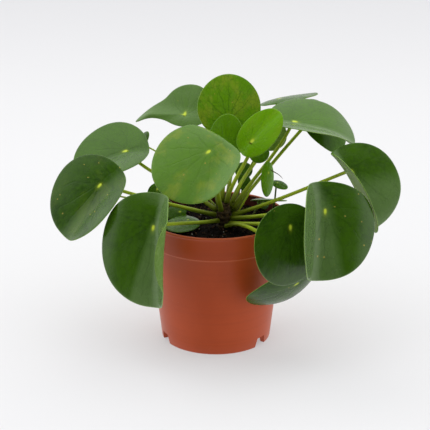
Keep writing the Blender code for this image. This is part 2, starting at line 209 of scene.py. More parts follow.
# How each leaf differs in colour: from the deepest green (0) to the brightest (1), and how
# thickly old specks are strewn on it.
TONES = {
    "front_left": (0.07, 0.35),
    "far_left": (0.03, 1.2),
    "behind_far_left": (0.1, 0.0),
    "left_upper": (0.15, 0.1),
    "behind_left": (0.1, 0.0),
    "back_left_top": (0.33, 0.2),
    "top_centre": (0.60, 0.1),
    "centre_front": (0.50, 1.0),
    "young_left": (0.55, 0.0),
    "young_right": (0.95, 0.0),
    "right_top": (0.24, 0.1),
    "back_right_edge": (0.12, 0.0),
    "behind_right": (0.15, 0.0),
    "far_right": (0.10, 0.1),
    "front_right": (0.04, 0.9),
    "front_right_low": (0.0, 0.6),
    "lowest_right": (0.0, 0.2),
    "back_centre": (0.6, 0.0),
    "back_small": (0.4, 0.0),
    "hanging_bud": (1.0, 0.3),
    "right_small": (0.4, 0.0),
    "right_flat": (0.4, 0.0),
    "right_dark": (0.2, 0.0),
    "soil_left_front": (0.15, 0.0),
    "soil_left_back": (0.15, 0.0),
    "back_striped": (0.1, 0.0),
    "back_dark": (0.1, 0.0),
    "left_hidden": (0.1, 0.0),
}

# The painted sheen, a reflection painted into the colour, that lightens part of a leaf: the
# direction in which it grows (0 to the tip, 90 to the right), where it starts and is full,
# in shares of the leaf, and its strength.
PAINTED_SHEEN = {
    "front_left": ((76, -0.10, 0.05, 0.85), (150, 0.40, 0.8, 0.6)),
    "far_left": ((80, 0.1, 0.6, 0.15),),
    "back_left_top": ((0, -1.6, -1.2, 0.75),),
    "centre_front": ((0, -1.6, -1.2, 0.42), (170, 0.0, 0.9, 0.3)),
    "right_top": ((-90, -0.1, 0.15, 1.0), (0, 0.4, 0.9, 0.4)),
    "far_right": ((0, 0.0, 0.5, 0.95), (-100, 0.0, 0.3, 0.5)),
    "front_right": ((-76, -0.22, 0.02, 0.72),),
    "front_right_low": ((0, 0.45, 0.8, 0.15),),
}

# Leaves with old yellowed areas, with plainer veins than the rest, and with a duller face.
YELLOWED = {"centre_front": 0.5, "top_centre": 0.5, "young_right": 0.25, "far_left": 0.1}
VEINED = {"top_centre": 3.4, "young_left": 1.8, "back_centre": 1.8, "centre_front": 1.2}
DULL_LEAVES = ("back_right_edge", "lowest_right", "behind_right")


def pot_axis():
    """The pot's axis in the row frame: the middle of its CAD box."""
    low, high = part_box("pot")
    middle = (low + high) / 2
    return Vector((middle.x, middle.y, 0.0))


AXIS = pot_axis()


# ---------------------------------------------------------------- node helpers


class Nodes:
    """A node tree, with short ways to add the nodes used here."""

    def __init__(self, tree):
        self.tree = tree

    def add(self, kind, **settings):
        node = self.tree.nodes.new(kind)
        for key, value in settings.items():
            setattr(node, key, value)
        return node

    def put(self, socket, value):
        if isinstance(value, bpy.types.NodeSocket):
            self.tree.links.new(value, socket)
        else:
            socket.default_value = value

    def math(self, operation, first, second=None):
        node = self.add("ShaderNodeMath", operation=operation)
        self.put(node.inputs[0], first)
        if second is not None:
            self.put(node.inputs[1], second)
        return node.outputs[0]

    def plus(self, total, *terms):
        for term in terms:
            total = self.math("ADD", total, term)
        return total

    def times(self, product, *factors):
        for factor in factors:
            product = self.math("MULTIPLY", product, factor)
        return product

    def distance(self, x, y):
        return self.math("SQRT", self.plus(self.times(x, x), self.times(y, y)))

    def split(self, vector):
        node = self.add("ShaderNodeSeparateXYZ")
        self.put(node.inputs[0], vector)
        return tuple(node.outputs)

    def smooth(self, value, low, high, start=0.0, end=1.0):
        """A soft step from start to end, while the value goes from low to high."""
        node = self.add("ShaderNodeMapRange", interpolation_type="SMOOTHSTEP")
        self.put(node.inputs["Value"], value)
        node.inputs["From Min"].default_value = low
        node.inputs["From Max"].default_value = high
        node.inputs["To Min"].default_value = start
        node.inputs["To Max"].default_value = end
        return node.outputs["Result"]

    def mix(self, share, first, second, kind="RGBA"):
        node = self.add("ShaderNodeMix", data_type=kind)
        self.put(node.inputs["Factor"], share)
        self.put(node.inputs["A"], first)
        self.put(node.inputs["B"], second)
        return node.outputs["Result"]

    def move(self, vector, offset, scale):
        node = self.add("ShaderNodeMapping")
        self.put(node.inputs["Vector"], vector)
        node.inputs["Location"].default_value = offset
        node.inputs["Scale"].default_value = scale
        return node.outputs["Vector"]

    def noise(self, vector, scale, detail=3.0, roughness=0.5):
        node = self.add("ShaderNodeTexNoise")
        self.put(node.inputs["Vector"], vector)
        node.inputs["Scale"].default_value = scale
        node.inputs["Detail"].default_value = detail
        node.inputs["Roughness"].default_value = roughness
        return node.outputs["Fac"]

    def voronoi(self, vector, scale, feature):
        node = self.add("ShaderNodeTexVoronoi", feature=feature)
        self.put(node.inputs["Vector"], vector)
        node.inputs["Scale"].default_value = scale
        return node


class Surface(Nodes):
    """The nodes of a new material, which all lead to its shader."""

    def __init__(self, name):
        self.material = bpy.data.materials.new(name)
        self.material.use_nodes = True
        super().__init__(self.material.node_tree)
        self.shader = self.tree.nodes["Principled BSDF"]

    def place(self):
        return self.add("ShaderNodeTexCoord").outputs["Object"]

    def bump(self, height, distance, strength=1.0):
        node = self.add("ShaderNodeBump")
        self.put(node.inputs["Height"], height)
        node.inputs["Distance"].default_value = distance
        node.inputs["Strength"].default_value = strength
        self.put(self.shader.inputs["Normal"], node.outputs["Normal"])

    def shade(self, colour, roughness, **values):
        self.put(self.shader.inputs["Base Color"], colour)
        self.put(self.shader.inputs["Roughness"], roughness)
        for key, value in values.items():
            self.shader.inputs[key.replace("_", " ")].default_value = value
        return self.material


def rgb(red, green, blue):
    return (red, green, blue, 1.0)


def blend(first, second, share):
    return tuple(a + (b - a) * share for a, b in zip(first, second))


# ---------------------------------------------------------------- materials

DEEP = rgb(0.0155, 0.052, 0.0008)
BRIGHT = rgb(0.150, 0.370, 0.001)
PALE = rgb(0.190, 0.330, 0.060)
DOT = rgb(0.540, 0.660, 0.040)
RIM = rgb(0.130, 0.240, 0.020)
TAN = rgb(0.420, 0.330, 0.060)
# Painted sheen: the light tint that stands in for reflections on parts of some leaves.
PAINTED_SHEEN_TINT = rgb(0.105, 0.190, 0.050)
YELLOW = rgb(0.240, 0.300, 0.020)
UNDER_DEEP = rgb(0.085, 0.18, 0.014)
UNDER_BRIGHT = rgb(0.22, 0.40, 0.015)
UNDER_VEIN = rgb(0.30, 0.44, 0.13)
UNDER_NET = rgb(0.24, 0.38, 0.10)
CLAY = rgb(0.430, 0.062, 0.012)
CLAY_BRIGHT = rgb(0.520, 0.080, 0.018)
CLAY_FLOW = rgb(0.40, 0.060, 0.016)
# Painted highlights: the top of the lip and the thin line at the collar's edge.
CLAY_LIP_HIGHLIGHT = rgb(0.52, 0.125, 0.045)
CLAY_COLLAR_HIGHLIGHT = rgb(0.62, 0.150, 0.060)
CLAY_DUST = rgb(0.50, 0.20, 0.11)


def leaf_space(graph, seed):
    """The flat leaf's coordinates: along and across, the radius, and a space of its own.

    The first three run to 1 at the margin. No two leaves share the last, so each has
    clouds, net and specks of its own.
    """
    uv = graph.add("ShaderNodeUVMap", uv_map="leaf").outputs["UV"]
    middle = -UV_MIDDLE / UV_REACH
    flat = graph.move(uv, (middle, middle, 0.0), (1 / UV_REACH, 1 / UV_REACH, 1.0))
    x, y, _ = graph.split(flat)
    own = graph.move(flat, (seed * 3.7, seed * 1.9, seed * 0.7), (1.0, 1.0, 1.0))
    return x, y, graph.distance(x, y), own


def leaf_veins(graph, x, y, radius, own):
    """Masks of the few main veins, which fan out from the stalk, and of the fine net."""
    stray = graph.times(graph.math("SUBTRACT", graph.noise(own, 2.6, 3.0), 0.5), 0.55)
    angle = graph.math("ABSOLUTE", graph.plus(graph.math("ARCTAN2", y, x), stray))
    sweep = graph.times(graph.math("SINE", angle), graph.times(radius, VEIN_SWEEP))
    turn = graph.plus(graph.math("DIVIDE", angle, math.pi), sweep)
    nearest = 1.0
    for vein in MAIN_VEINS:
        off = graph.math("ABSOLUTE", graph.math("SUBTRACT", turn, vein))
        nearest = graph.math("MINIMUM", off, nearest)
    reach = graph.times(nearest, math.pi, radius)
    main = graph.times(graph.smooth(reach, 0.002, 0.034, 1.0, 0.0),
                       graph.smooth(radius, 0.5, 1.0, 1.0, 0.1),
                       graph.smooth(radius, 0.06, 0.2))
    edge = graph.voronoi(own, 7.0, "DISTANCE_TO_EDGE").outputs["Distance"]
    net = graph.smooth(edge, 0.0, 0.07, 1.0, 0.0)
    return main, net


def add_painted_sheen(graph, colour, name, x, y, own):
    """The colour with painted sheen, a painted reflection, lightening parts of the leaf a little
    unevenly.
    """
    uneven = graph.smooth(graph.noise(own, 3.0, 4.0), 0.25, 0.75, 0.8, 1.0)
    for turn, start, full, strength in PAINTED_SHEEN.get(name, ()):
        turn = math.radians(turn)
        out = graph.plus(graph.times(x, math.cos(turn)), graph.times(y, math.sin(turn)))
        share = graph.times(graph.smooth(out, start, full, 0.0, strength), uneven)
        colour = graph.mix(share, colour, PAINTED_SHEEN_TINT)
    return colour


def upper_material(name, leaf, tone, specks, seed):
    """A mature or young leaf's waxy upper face, with its dot, veins, specks and rim."""
    graph = Surface("leaf_upper_" + name)
    x, y, radius, own = leaf_space(graph, seed)
    main, net = leaf_veins(graph, x, y, radius, own)
    deep = blend(DEEP, BRIGHT, tone)
    light = blend(deep, BRIGHT, 0.14)
    cloud = graph.smooth(graph.noise(own, 1.6, 4.0), 0.3, 0.72)
    colour = graph.mix(cloud, deep, light)
    mottle = graph.smooth(graph.noise(own, 11.0, 4.0), 0.35, 0.7, 0.0, 0.8)
    colour = graph.mix(mottle, colour, blend(deep, BRIGHT, 0.13))
    # Painted sheen: parts of some leaves are lightened as if they mirrored the bright room.
    colour = add_painted_sheen(graph, colour, name, x, y, own)
    if name in YELLOWED:
        patch = graph.smooth(graph.noise(own, 1.9, 5.0, 0.6), 0.48, 0.68, 0.0, YELLOWED[name])
        colour = graph.mix(patch, colour, YELLOW)
    dark = blend(deep, rgb(0.0, 0.02, 0.0), 0.5)
    plain = VEINED.get(name, 1.0)
    colour = graph.mix(graph.times(main, 0.17 * plain), colour, dark)
    colour = graph.mix(graph.times(net, 0.16 * plain), colour, dark)
    colour = graph.mix(graph.smooth(radius, 0.98, 0.998, 0.0, 0.5), colour, RIM)
    length, width = leaf["size"]
    along = graph.times(graph.math("SUBTRACT", x, DOT_AHEAD), length / 2)
    across = graph.times(y, width / 2 * DOT_SLIMNESS)
    away = graph.distance(along, across)
    size = 1.0 if length >= SMALL_LEAF else 0.5
    colour = graph.mix(graph.smooth(away, 0.5 * size, 5.5 * size, 0.16, 0.0), colour, DOT)
    colour = graph.mix(graph.smooth(away, 0.7 * size, 2.8 * size, 1.0, 0.0), colour, DOT)
    if specks:
        spots = graph.voronoi(own, 7.5, "F1")
        near = graph.smooth(spots.outputs["Distance"], 0.06, 0.14, 0.9, 0.0)
        pick = graph.add("ShaderNodeSeparateColor")
        graph.put(pick.inputs[0], spots.outputs["Color"])
        chosen = graph.math("LESS_THAN", pick.outputs[0], 0.30 * specks)
        colour = graph.mix(graph.times(near, chosen), colour, TAN)
    fine = graph.noise(own, 60.0, 2.0)
    furrows = graph.plus(main, graph.times(net, 0.3))
    graph.bump(graph.math("SUBTRACT", graph.times(fine, 0.18), furrows), 0.00018, 0.45)
    gloss = graph.smooth(graph.noise(own, 5.0, 3.0), 0.3, 0.7, 0.20, 0.30)
    shine = 0.12 if name in DULL_LEAVES else 0.5
    return graph.shade(colour, gloss, Specular_IOR_Level=shine)


def under_material(name, tone, seed):
    """A leaf's paler and duller lower face, where the veins stand out."""
    graph = Surface(name)
    x, y, radius, own = leaf_space(graph, seed)
    main, net = leaf_veins(graph, x, y, radius, own)
    base = blend(UNDER_DEEP, UNDER_BRIGHT, tone)
    colour = graph.mix(graph.noise(own, 3.0, 4.0), base, blend(base, PALE, 0.5))
    colour = graph.mix(graph.times(main, 0.6), colour, UNDER_VEIN)
    colour = graph.mix(graph.times(net, 0.25), colour, UNDER_NET)
    graph.bump(graph.plus(main, graph.times(net, 0.4)), 0.0005, 0.6)
    return graph.shade(colour, 0.55, Specular_IOR_Level=0.4)


def rim_material():
    graph = Surface("leaf_rim")
    colour = graph.mix(graph.noise(graph.place(), 300.0), RIM, rgb(0.20, 0.36, 0.05))
    return graph.shade(colour, 0.45)


def stalk_material(name, low, high):
    """A stalk's skin with fine lengthwise streaks, from a low colour at its foot to a high one;
    the darker foot is painted shade, low among the crowded stalks.
    """
    graph = Surface(name)
    uv = graph.add("ShaderNodeUVMap", uv_map="stalk").outputs["UV"]
    # Painted shade: the stalk darkens toward its foot.
    along = graph.smooth(graph.split(uv)[1], 0.0, 0.34)
    colour = graph.mix(along, low, high)
    streaks = graph.noise(graph.move(uv, (0.0, 0.0, 0.0), (9.0, 1.2, 1.0)), 4.0, 4.0)
    colour = graph.mix(graph.smooth(streaks, 0.45, 0.75, 0.0, 0.45), colour,
                       blend(high, rgb(0.05, 0.11, 0.005), 0.5))
    blotch = graph.noise(graph.place(), 90.0, 4.0)
    colour = graph.mix(graph.smooth(blotch, 0.55, 0.8, 0.0, 0.35), colour, rgb(0.32, 0.36, 0.07))
    graph.bump(streaks, 0.0004, 0.5)
    return graph.shade(colour, 0.42, Specular_IOR_Level=0.2)


def painted_shade_inside_material():
    """The inner wall, painted dark as its shade, with uneven stains of damp soil."""
    graph = Surface("pot_inside_painted_shade")
    # Painted shade: the inner wall and floor are a much darker copy of the pot's colour.
    stain = graph.smooth(graph.noise(graph.place(), 60.0, 5.0), 0.35, 0.7)
    colour = graph.mix(stain, rgb(0.120, 0.016, 0.008), rgb(0.060, 0.012, 0.008))
    return graph.shade(colour, 0.6, Specular_IOR_Level=0.2)


def pot_material():
    """Satin moulded plastic with faint flow marks round it and dusty scuffs, with a painted
    highlight along the lip and a thin painted highlight line at the collar's edge.
    """
    graph = Surface("pot_plastic")
    place = graph.place()
    cloud = graph.noise(place, 14.0, 5.0)
    colour = graph.mix(graph.smooth(cloud, 0.3, 0.7), CLAY, CLAY_BRIGHT)
    rings = graph.noise(graph.move(place, (0.0, 0.0, 0.0), (9.0, 9.0, 420.0)), 1.0, 3.0)
    colour = graph.mix(graph.smooth(rings, 0.42, 0.7, 0.0, 0.25), colour, CLAY_FLOW)
    height = graph.split(place)[2]
    # Painted highlight: the top of the lip is lightened.
    lip = graph.smooth(height, (POT_HEIGHT - 2.2) * MM, (POT_HEIGHT - 0.6) * MM, 0.0, 0.5)
    colour = graph.mix(lip, colour, CLAY_LIP_HIGHLIGHT)
    # Painted highlight: a thin light line round the collar's edge.
    off = graph.math("SUBTRACT", height, (POT_HEIGHT - COLLAR_HEIGHT) * MM)
    edge = graph.smooth(graph.math("ABSOLUTE", off), 0.2 * MM, 1.1 * MM, 0.5, 0.0)
    colour = graph.mix(edge, colour, CLAY_COLLAR_HIGHLIGHT)
    dust = graph.smooth(graph.noise(place, 260.0, 6.0, 0.7), 0.60, 0.8, 0.0, 0.22)
    colour = graph.mix(dust, colour, CLAY_DUST)
    grain = graph.times(graph.noise(place, 1500.0, 2.0), 0.25)
    graph.bump(graph.plus(graph.times(rings, 0.7), grain), 0.00008, 0.4)
    gloss = graph.smooth(cloud, 0.3, 0.7, 0.36, 0.46)
    return graph.shade(colour, gloss, Specular_IOR_Level=0.28)


def soil_material(name, dark, light):
    """Coarse and grainy matter, with damp patches."""
    graph = Surface(name)
    place = graph.place()
    grain = graph.noise(place, 420.0, 6.0, 0.65)
    colour = graph.mix(graph.smooth(grain, 0.35, 0.75), dark, light)
    patch = graph.noise(place, 60.0, 3.0)
    colour = graph.mix(graph.smooth(patch, 0.5, 0.75, 0.0, 0.4), colour, rgb(0.022, 0.011, 0.006))
    graph.bump(grain, 0.0016, 0.9)
    return graph.shade(colour, 0.92, Specular_IOR_Level=0.1)


def bark_material(name, dark, light):
    """Rough skin of the crown, with a grain that runs across it."""
    graph = Surface(name)
    place = graph.place()
    grain = graph.noise(graph.move(place, (0.0, 0.0, 0.0), (1.0, 1.0, 2.4)), 260.0, 6.0, 0.65)
    colour = graph.mix(graph.smooth(grain, 0.3, 0.7), dark, light)
    graph.bump(grain, 0.0010, 0.8)
    return graph.shade(colour, 0.75, Specular_IOR_Level=0.3)


def floor_material():
    """Pale matt floor, painted a little darker far behind the plant as painted shade where the
    light falls off.
    """
    graph = Surface("studio_floor")
    place = graph.place()
    cloud = graph.noise(place, 2.5, 3.0)
    colour = graph.mix(cloud, rgb(0.405, 0.405, 0.410), rgb(0.415, 0.415, 0.420))
    # Painted shade: the floor darkens far behind the plant, where the light falls off.
    far = graph.smooth(graph.split(place)[1], 0.4, 1.7)
    colour = graph.mix(far, colour, rgb(0.320, 0.320, 0.330))
    return graph.shade(colour, 0.7, Specular_IOR_Level=0.1, Emission_Strength=0.38,
                       Emission_Color=rgb(0.98, 0.98, 1.0))


# ---------------------------------------------------------------- pieces


def add_object(name, data):
    obj = bpy.data.objects.new(name, data)
    bpy.context.scene.collection.objects.link(obj)
    return obj


def add_piece(name, mesh, materials):
    """An object in the row frame, from a mesh that is laid out from the pot's axis."""
    obj = add_object(name, mesh)
    obj.location = AXIS
    for material in materials:
        mesh.materials.append(material)
    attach(obj, "root")
    return obj


def mesh_from(name, bm):
    mesh = bpy.data.meshes.new(name)
    bm.to_mesh(mesh)
    bm.free()
    mesh.shade_smooth()
    return mesh


def leaf_frame(leaf):
    """The way a leaf faces, the direction to its tip and the direction across it."""
    azimuth, elevation = (math.radians(angle) for angle in leaf["face"])
    turn = math.radians(leaf["turn"])
    flat = Vector((math.cos(azimuth), math.sin(azimuth), 0.0))
    up = Vector((0.0, 0.0, 1.0))
    normal = flat * math.cos(elevation) + up * math.sin(elevation)
    downhill = flat * math.sin(elevation) - up * math.cos(elevation)
    tip = downhill * math.cos(turn) + normal.cross(downhill) * math.sin(turn)
    return normal, tip, normal.cross(tip)


def outline_point(leaf, angle, share):
    """A point of the flat blade; share runs from the stalk (0) to the margin (1)."""
    length, width = leaf["size"]
    along = length / 2 * math.cos(angle)
    across = width / 2 * math.sin(angle) * (1.0 - EGG * math.cos(angle))
    along += length * (0.5 - leaf.get("share", ATTACH_SHARE))
    if "beak" in leaf:
        toward, reach, spread = leaf["beak"]
        pull = reach * math.exp(-((math.degrees(angle) - toward) / spread) ** 2)
        along += pull * math.cos(math.radians(toward))
        across += pull * math.sin(math.radians(toward))
    return Vector((along * share, across * share, 0.0))


def bend(point, direction, start, radius, limit):
    """Roll the blade round a cylinder lying across a direction, then let it run straight.

    A negative radius rolls it forward, toward its upper face.
    """
    angle = math.radians(direction)
    way = Vector((math.cos(angle), math.sin(angle), 0.0))
    run = point.dot(way) - start
    if run <= 0.0:
        return point
    side = math.copysign(1.0, radius)
    reach = abs(radius)
    turn = min(run / reach, math.radians(limit))
    straight = run - reach * turn
    arm = reach + side * point.z
    rolled = arm * math.sin(turn) + straight * math.cos(turn)
    rise = side * (arm * math.cos(turn) - straight * math.sin(turn) - reach)
    return Vector((point.x, point.y, 0.0)) + way * (rolled - run) + Vector((0, 0, rise))


def relief(point, angle, share, size, seed):
    """Height of the blade's own relief: the navel at the stalk, vein furrows, a wavy margin."""
    away = math.hypot(point.x, point.y)
    navel = -NAVEL_DEPTH * size * math.exp(-((away / (NAVEL_SPAN * size)) ** 2))
    turn = abs(math.atan2(point.y, point.x)) / math.pi
    turn += VEIN_SWEEP * share * math.sin(turn * math.pi)
    near = min(abs(turn - vein) for vein in MAIN_VEINS) * math.pi * away
    furrow = -FURROW_DEPTH * size * math.exp(-((near / FURROW_SPAN) ** 2)) * share
    wave = WAVE_HEIGHT * size * share ** 3
    wave *= math.sin(3 * angle + seed) * math.sin(2 * angle + 2 * seed)
    return navel + furrow + wave


def blade_point(leaf, angle, share, seed):
    """A point of the finished upper face, from the pot's axis."""
    point = outline_point(leaf, angle, share)
    size = 1.0 if leaf["size"][0] >= SMALL_LEAF else SMALL_RELIEF
    point.z = relief(point, angle, share, size, seed) - DOME * leaf["size"][0] * share * share
    for shape in leaf["bends"]:
        point = bend(point, *shape)
    normal, tip, across = leaf_frame(leaf)
    return Vector(leaf["at"]) + tip * point.x + across * point.y + normal * point.z


def leaf_mesh(name, leaf, seed):
    """The upper face as a disc of rings round the stalk, with its flat layout as UVs."""
    small = leaf["size"][0] < SMALL_LEAF
    steps, rings = SMALL_BLADE_GRID if small else BLADE_GRID
    bm = bmesh.new()
    spokes = [bm.verts.new((ring / rings, 0.0, 0.0)) for ring in range(rings + 1)]
    edges = [bm.edges.new(pair) for pair in zip(spokes, spokes[1:])]
    bmesh.ops.spin(bm, geom=spokes + edges, axis=(0, 0, 1), cent=(0, 0, 0),
                   angle=math.tau, steps=steps, use_merge=True)
    bmesh.ops.remove_doubles(bm, verts=bm.verts, dist=1e-5)
    bmesh.ops.recalc_face_normals(bm, faces=bm.faces)
    bm.normal_update()
    if sum(face.normal.z for face in bm.faces) < 0:
        bmesh.ops.reverse_faces(bm, faces=bm.faces)
    layer = bm.loops.layers.uv.new("leaf")
    for face in bm.faces:
        for loop in face.loops:
            place = loop.vert.co
            loop[layer].uv = (UV_MIDDLE + UV_REACH * place.x, UV_MIDDLE + UV_REACH * place.y)
    for vert in bm.verts:
        share = vert.co.length
        angle = math.atan2(vert.co.y, vert.co.x)
        vert.co = blade_point(leaf, angle, share, seed) * MM
    return mesh_from("leaf_" + name, bm)


def make_leaf(name, leaf, seed, rim):
    """A blade as thick as the real leaf, with its two faces and its rim."""
    tone, specks = TONES[name]
    upper = upper_material(name, leaf, tone, specks, seed)
    under = under_material("leaf_under_" + name, tone, seed)
    obj = add_piece("blade_" + name, leaf_mesh(name, leaf, seed), (upper, under, rim))
    thick = obj.modifiers.new("Thickness", "SOLIDIFY")
    thick.thickness = LEAF_THICKNESS * MM
    thick.offset = -1.0
    thick.material_offset = 1
    thick.material_offset_rim = 2
    smooth = obj.modifiers.new("Smooth", "SUBSURF")
    smooth.levels = smooth.render_levels = 1
    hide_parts("leaf_" + name)


def stalk_radius(leaf):
    return THIN_STALK_RADIUS if leaf["size"][0] < SMALL_LEAF else STALK_RADIUS


def stalk_start(leaf):
    """Where a stalk begins: at the crown's side, on its top or in the soil."""
    if "root" in leaf:
        return Vector((*leaf["root"], SOIL_TOP + GAP))
    azimuth, height = leaf["stalk"][:2]
    on_top = height >= CROWN_TOP
    reach = CROWN_TOP_REACH if on_top else CROWN_RADIUS + GAP + STALK_CLEARANCE
    turn = math.radians(azimuth)
    away = Vector((math.cos(turn), math.sin(turn), 0.0)) * reach
    away.z = height + GAP if on_top else height
    return CROWN_AT + away


def stalk_points(leaf):
    """Bezier points of a stalk, from the crown or the soil to the back of its leaf."""
    normal = leaf_frame(leaf)[0]
    at = Vector(leaf["at"])
    start = stalk_start(leaf)
    target = Vector(leaf["route"][0]) if "route" in leaf else at
    last = Vector(leaf["route"][-1]) if "route" in leaf else start
    arrive = ((at - last).normalized() + normal * ARRIVE_SQUARE).normalized()
    end = at - normal * (LEAF_THICKNESS * 0.9)
    flat = Vector((target.x - start.x, target.y - start.y, 0.0)).normalized()
    climb = math.radians(leaf["stalk"][2])
    leave = flat * math.cos(climb) + Vector((0.0, 0.0, math.sin(climb)))
    first = start + leave * (target - start).length * LEAVE_REACH
    return start, first, end - arrive * (end - last).length * ARRIVE_REACH, end


def stalk_knots(leaf):
    """Knots of a stalk with their handles: (place, handle before, handle after)."""
    start, leave, arrive, end = stalk_points(leaf)
    places = [start] + [Vector(point) for point in leaf.get("route", ())] + [end]
    knots = [(start, start, leave)]
    for before, place, after in zip(places, places[1:], places[2:]):
        back, ahead = (place - before).length, (after - place).length
        way = (place - before).normalized() + (after - place).normalized()
        reach = way.length * KNOT_ROUNDNESS
        knots.append((place, place - way * back / reach, place + way * ahead / reach))
    knots.append((end, arrive, end))
    return knots


def centre_line(leaf, samples):
    """Points along a stalk's smooth curve, with some samples between every two knots."""
    line = []
    knots = stalk_knots(leaf)
    for first, second in zip(knots, knots[1:]):
        for index in range(samples):
            t = index / samples
            s = 1.0 - t
            line.append(first[0] * s ** 3 + first[2] * 3 * s * s * t
                        + second[1] * 3 * s * t * t + second[0] * t ** 3)
    line.append(knots[-1][0])
    return line


def tube_mesh(name, line, radii, sides):
    """A closed tube along a line, with UVs round it and along it."""
    bm = bmesh.new()
    rings = []
    side = None
    for index, point in enumerate(line):
        ahead = line[min(index + 1, len(line) - 1)] - line[max(index - 1, 0)]
        ahead.normalize()
        if side is None:
            side = ahead.orthogonal().normalized()
        side = (side - ahead * side.dot(ahead)).normalized()
        other = ahead.cross(side)
        ring = []
        for step in range(sides):
            turn = math.tau * step / sides
            out = side * math.cos(turn) + other * math.sin(turn)
            ring.append(bm.verts.new((point + out * radii[index]) * MM))
        rings.append(ring)
    layer = bm.loops.layers.uv.new("stalk")
    count = len(line) - 1
    for row, (low, high) in enumerate(zip(rings, rings[1:])):
        for step in range(sides):
            after = (step + 1) % sides
            face = bm.faces.new((low[step], low[after], high[after], high[step]))
            places = ((step, row), (step + 1, row), (step + 1, row + 1), (step, row + 1))
            for loop, (u, v) in zip(face.loops, places):
                loop[layer].uv = (u / sides, v / count)
    bm.faces.new(reversed(rings[0]))
    bm.faces.new(rings[-1])
    bmesh.ops.recalc_face_normals(bm, faces=bm.faces)
    return mesh_from(name, bm)


def stalk_radii(line, radius, rooted):
    """A little swollen at the crown and again where the stalk spreads into its leaf."""
    total = sum((b - a).length for a, b in zip(line, line[1:]))
    radii = []
    run = 0.0
    for index, point in enumerate(line):
        if index:
            run += (point - line[index - 1]).length
        foot = (ROOTED_FOOT_SWELL if rooted else FOOT_SWELL) * math.exp(-run / FOOT_SPAN)
        top = TOP_SWELL * math.exp(-(total - run) / TOP_SPAN)
        radii.append(radius * (1.0 - STALK_TAPER * run / total + foot + top))
    return radii


def make_stalk(name, leaf, material):
    line = centre_line(leaf, STALK_SAMPLES)
    radii = stalk_radii(line, stalk_radius(leaf), "root" in leaf)
    mesh = tube_mesh("stalk_" + name, line, radii, STALK_SIDES)
    obj = add_piece("stalk_" + name, mesh, (material,))
    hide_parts("petiole_" + name)


def make_tendril():
    """The thin dry tendril that hangs from the opening bud."""
    line = [Vector(point) for point in TENDRIL]
    mesh = tube_mesh("bud_tendril", line, TENDRIL_RADII, STALK_SIDES // 2)
    brown = stalk_material("tendril_brown", rgb(0.06, 0.05, 0.01), rgb(0.09, 0.05, 0.02))
    obj = add_piece("bud_tendril", mesh, (brown,))
    smooth = obj.modifiers.new("Smooth", "SUBSURF")
    smooth.levels = smooth.render_levels = 1


def turned_mesh(name, profile, steps):
    """A closed body turned about Z from (radius, height) points that start and end on it."""
    bm = bmesh.new()
    verts = [bm.verts.new((r * MM, 0.0, z * MM)) for r, z in profile]
    edges = [bm.edges.new(pair) for pair in zip(verts, verts[1:])]
    bmesh.ops.spin(bm, geom=verts + edges, axis=(0, 0, 1), cent=(0, 0, 0),
                   angle=math.tau, steps=steps, use_merge=True)
    bmesh.ops.remove_doubles(bm, verts=bm.verts, dist=1e-6)
    bmesh.ops.recalc_face_normals(bm, faces=bm.faces)
    return mesh_from(name, bm)


def wall_radius(height):
    """Outer radius of the pot's tapered wall, without its collar."""
    share = height / POT_HEIGHT
    return POT_BASE_RADIUS + (POT_TOP_RADIUS - COLLAR_STEP - POT_BASE_RADIUS) * share


def inner_radius(height):
    return wall_radius(height) - POT_WALL


def arc(centre, radius, start, end, count):
    """Points of an arc in the profile plane, angles in degrees from outward to up."""
    turns = [math.radians(start + (end - start) * i / count) for i in range(count + 1)]
    return [(centre[0] + radius * math.cos(t), centre[1] + radius * math.sin(t)) for t in turns]


def pot_profile():
    """From the middle of the floor up the inside, over the lip and down to the underside."""
    collar = POT_HEIGHT - COLLAR_HEIGHT
    lip = POT_HEIGHT - LIP_HEIGHT
    floor_top = FLOOR_UNDERSIDE + FLOOR_THICKNESS
    roll = LIP_WIDTH / 2
    points = [(0.0, floor_top), (inner_radius(floor_top) - 2.0, floor_top)]
    points += [(inner_radius(floor_top + 2.0), floor_top + 2.0)]
    points += [(inner_radius(z), z) for z in (40.0, 70.0, collar, lip - 1.0)]
    points += arc((POT_TOP_RADIUS - roll, POT_HEIGHT - roll), roll, 180.0, -50.0, 12)
    points += [(POT_TOP_RADIUS - 0.75, lip - 0.8)]
    points += [(wall_radius(z) + COLLAR_STEP, z) for z in (lip - 8.0, collar + 4.0)]
    points += arc((wall_radius(collar), collar + 0.9), COLLAR_STEP, 0.0, -75.0, 4)
    points += [(wall_radius(collar - 0.6), collar - 0.6)]
    points += [(wall_radius(z), z) for z in (70.0, 50.0, 30.0, NOTCH_HEIGHT + 1.0, 1.0)]
    points += arc((POT_BASE_RADIUS - 0.8, 0.8), 0.8, 0.0, -90.0, 3)
    points += [(POT_BASE_RADIUS - FOOT_WIDTH, 0.0)]
    points += [(POT_BASE_RADIUS - FOOT_WIDTH - 0.5, FLOOR_UNDERSIDE)]
    points += [(0.0, FLOOR_UNDERSIDE)]
    return points


def notch_cutter(angle):
    """A wedge, narrower at its top, that opens a gap between two feet."""
    bm = bmesh.new()
    bmesh.ops.create_cube(bm, size=1.0)
    for vert in bm.verts:
        top = vert.co.z > 0
        flare = -NOTCH_FLARE if top else NOTCH_FLARE
        vert.co.x *= NOTCH_DEPTH * MM
        vert.co.y *= NOTCH_WIDTH * (1.0 + flare) * MM
        vert.co.z = NOTCH_HEIGHT * MM if top else -NOTCH_HEIGHT * 0.5 * MM
    turn = math.radians(angle)
    reach = (POT_BASE_RADIUS - 2.0) * MM
    place = Matrix.Rotation(turn, 4, "Z") @ Matrix.Translation((reach, 0.0, 0.0))
    bm.transform(place)
    return mesh_from("notch_cutter", bm)


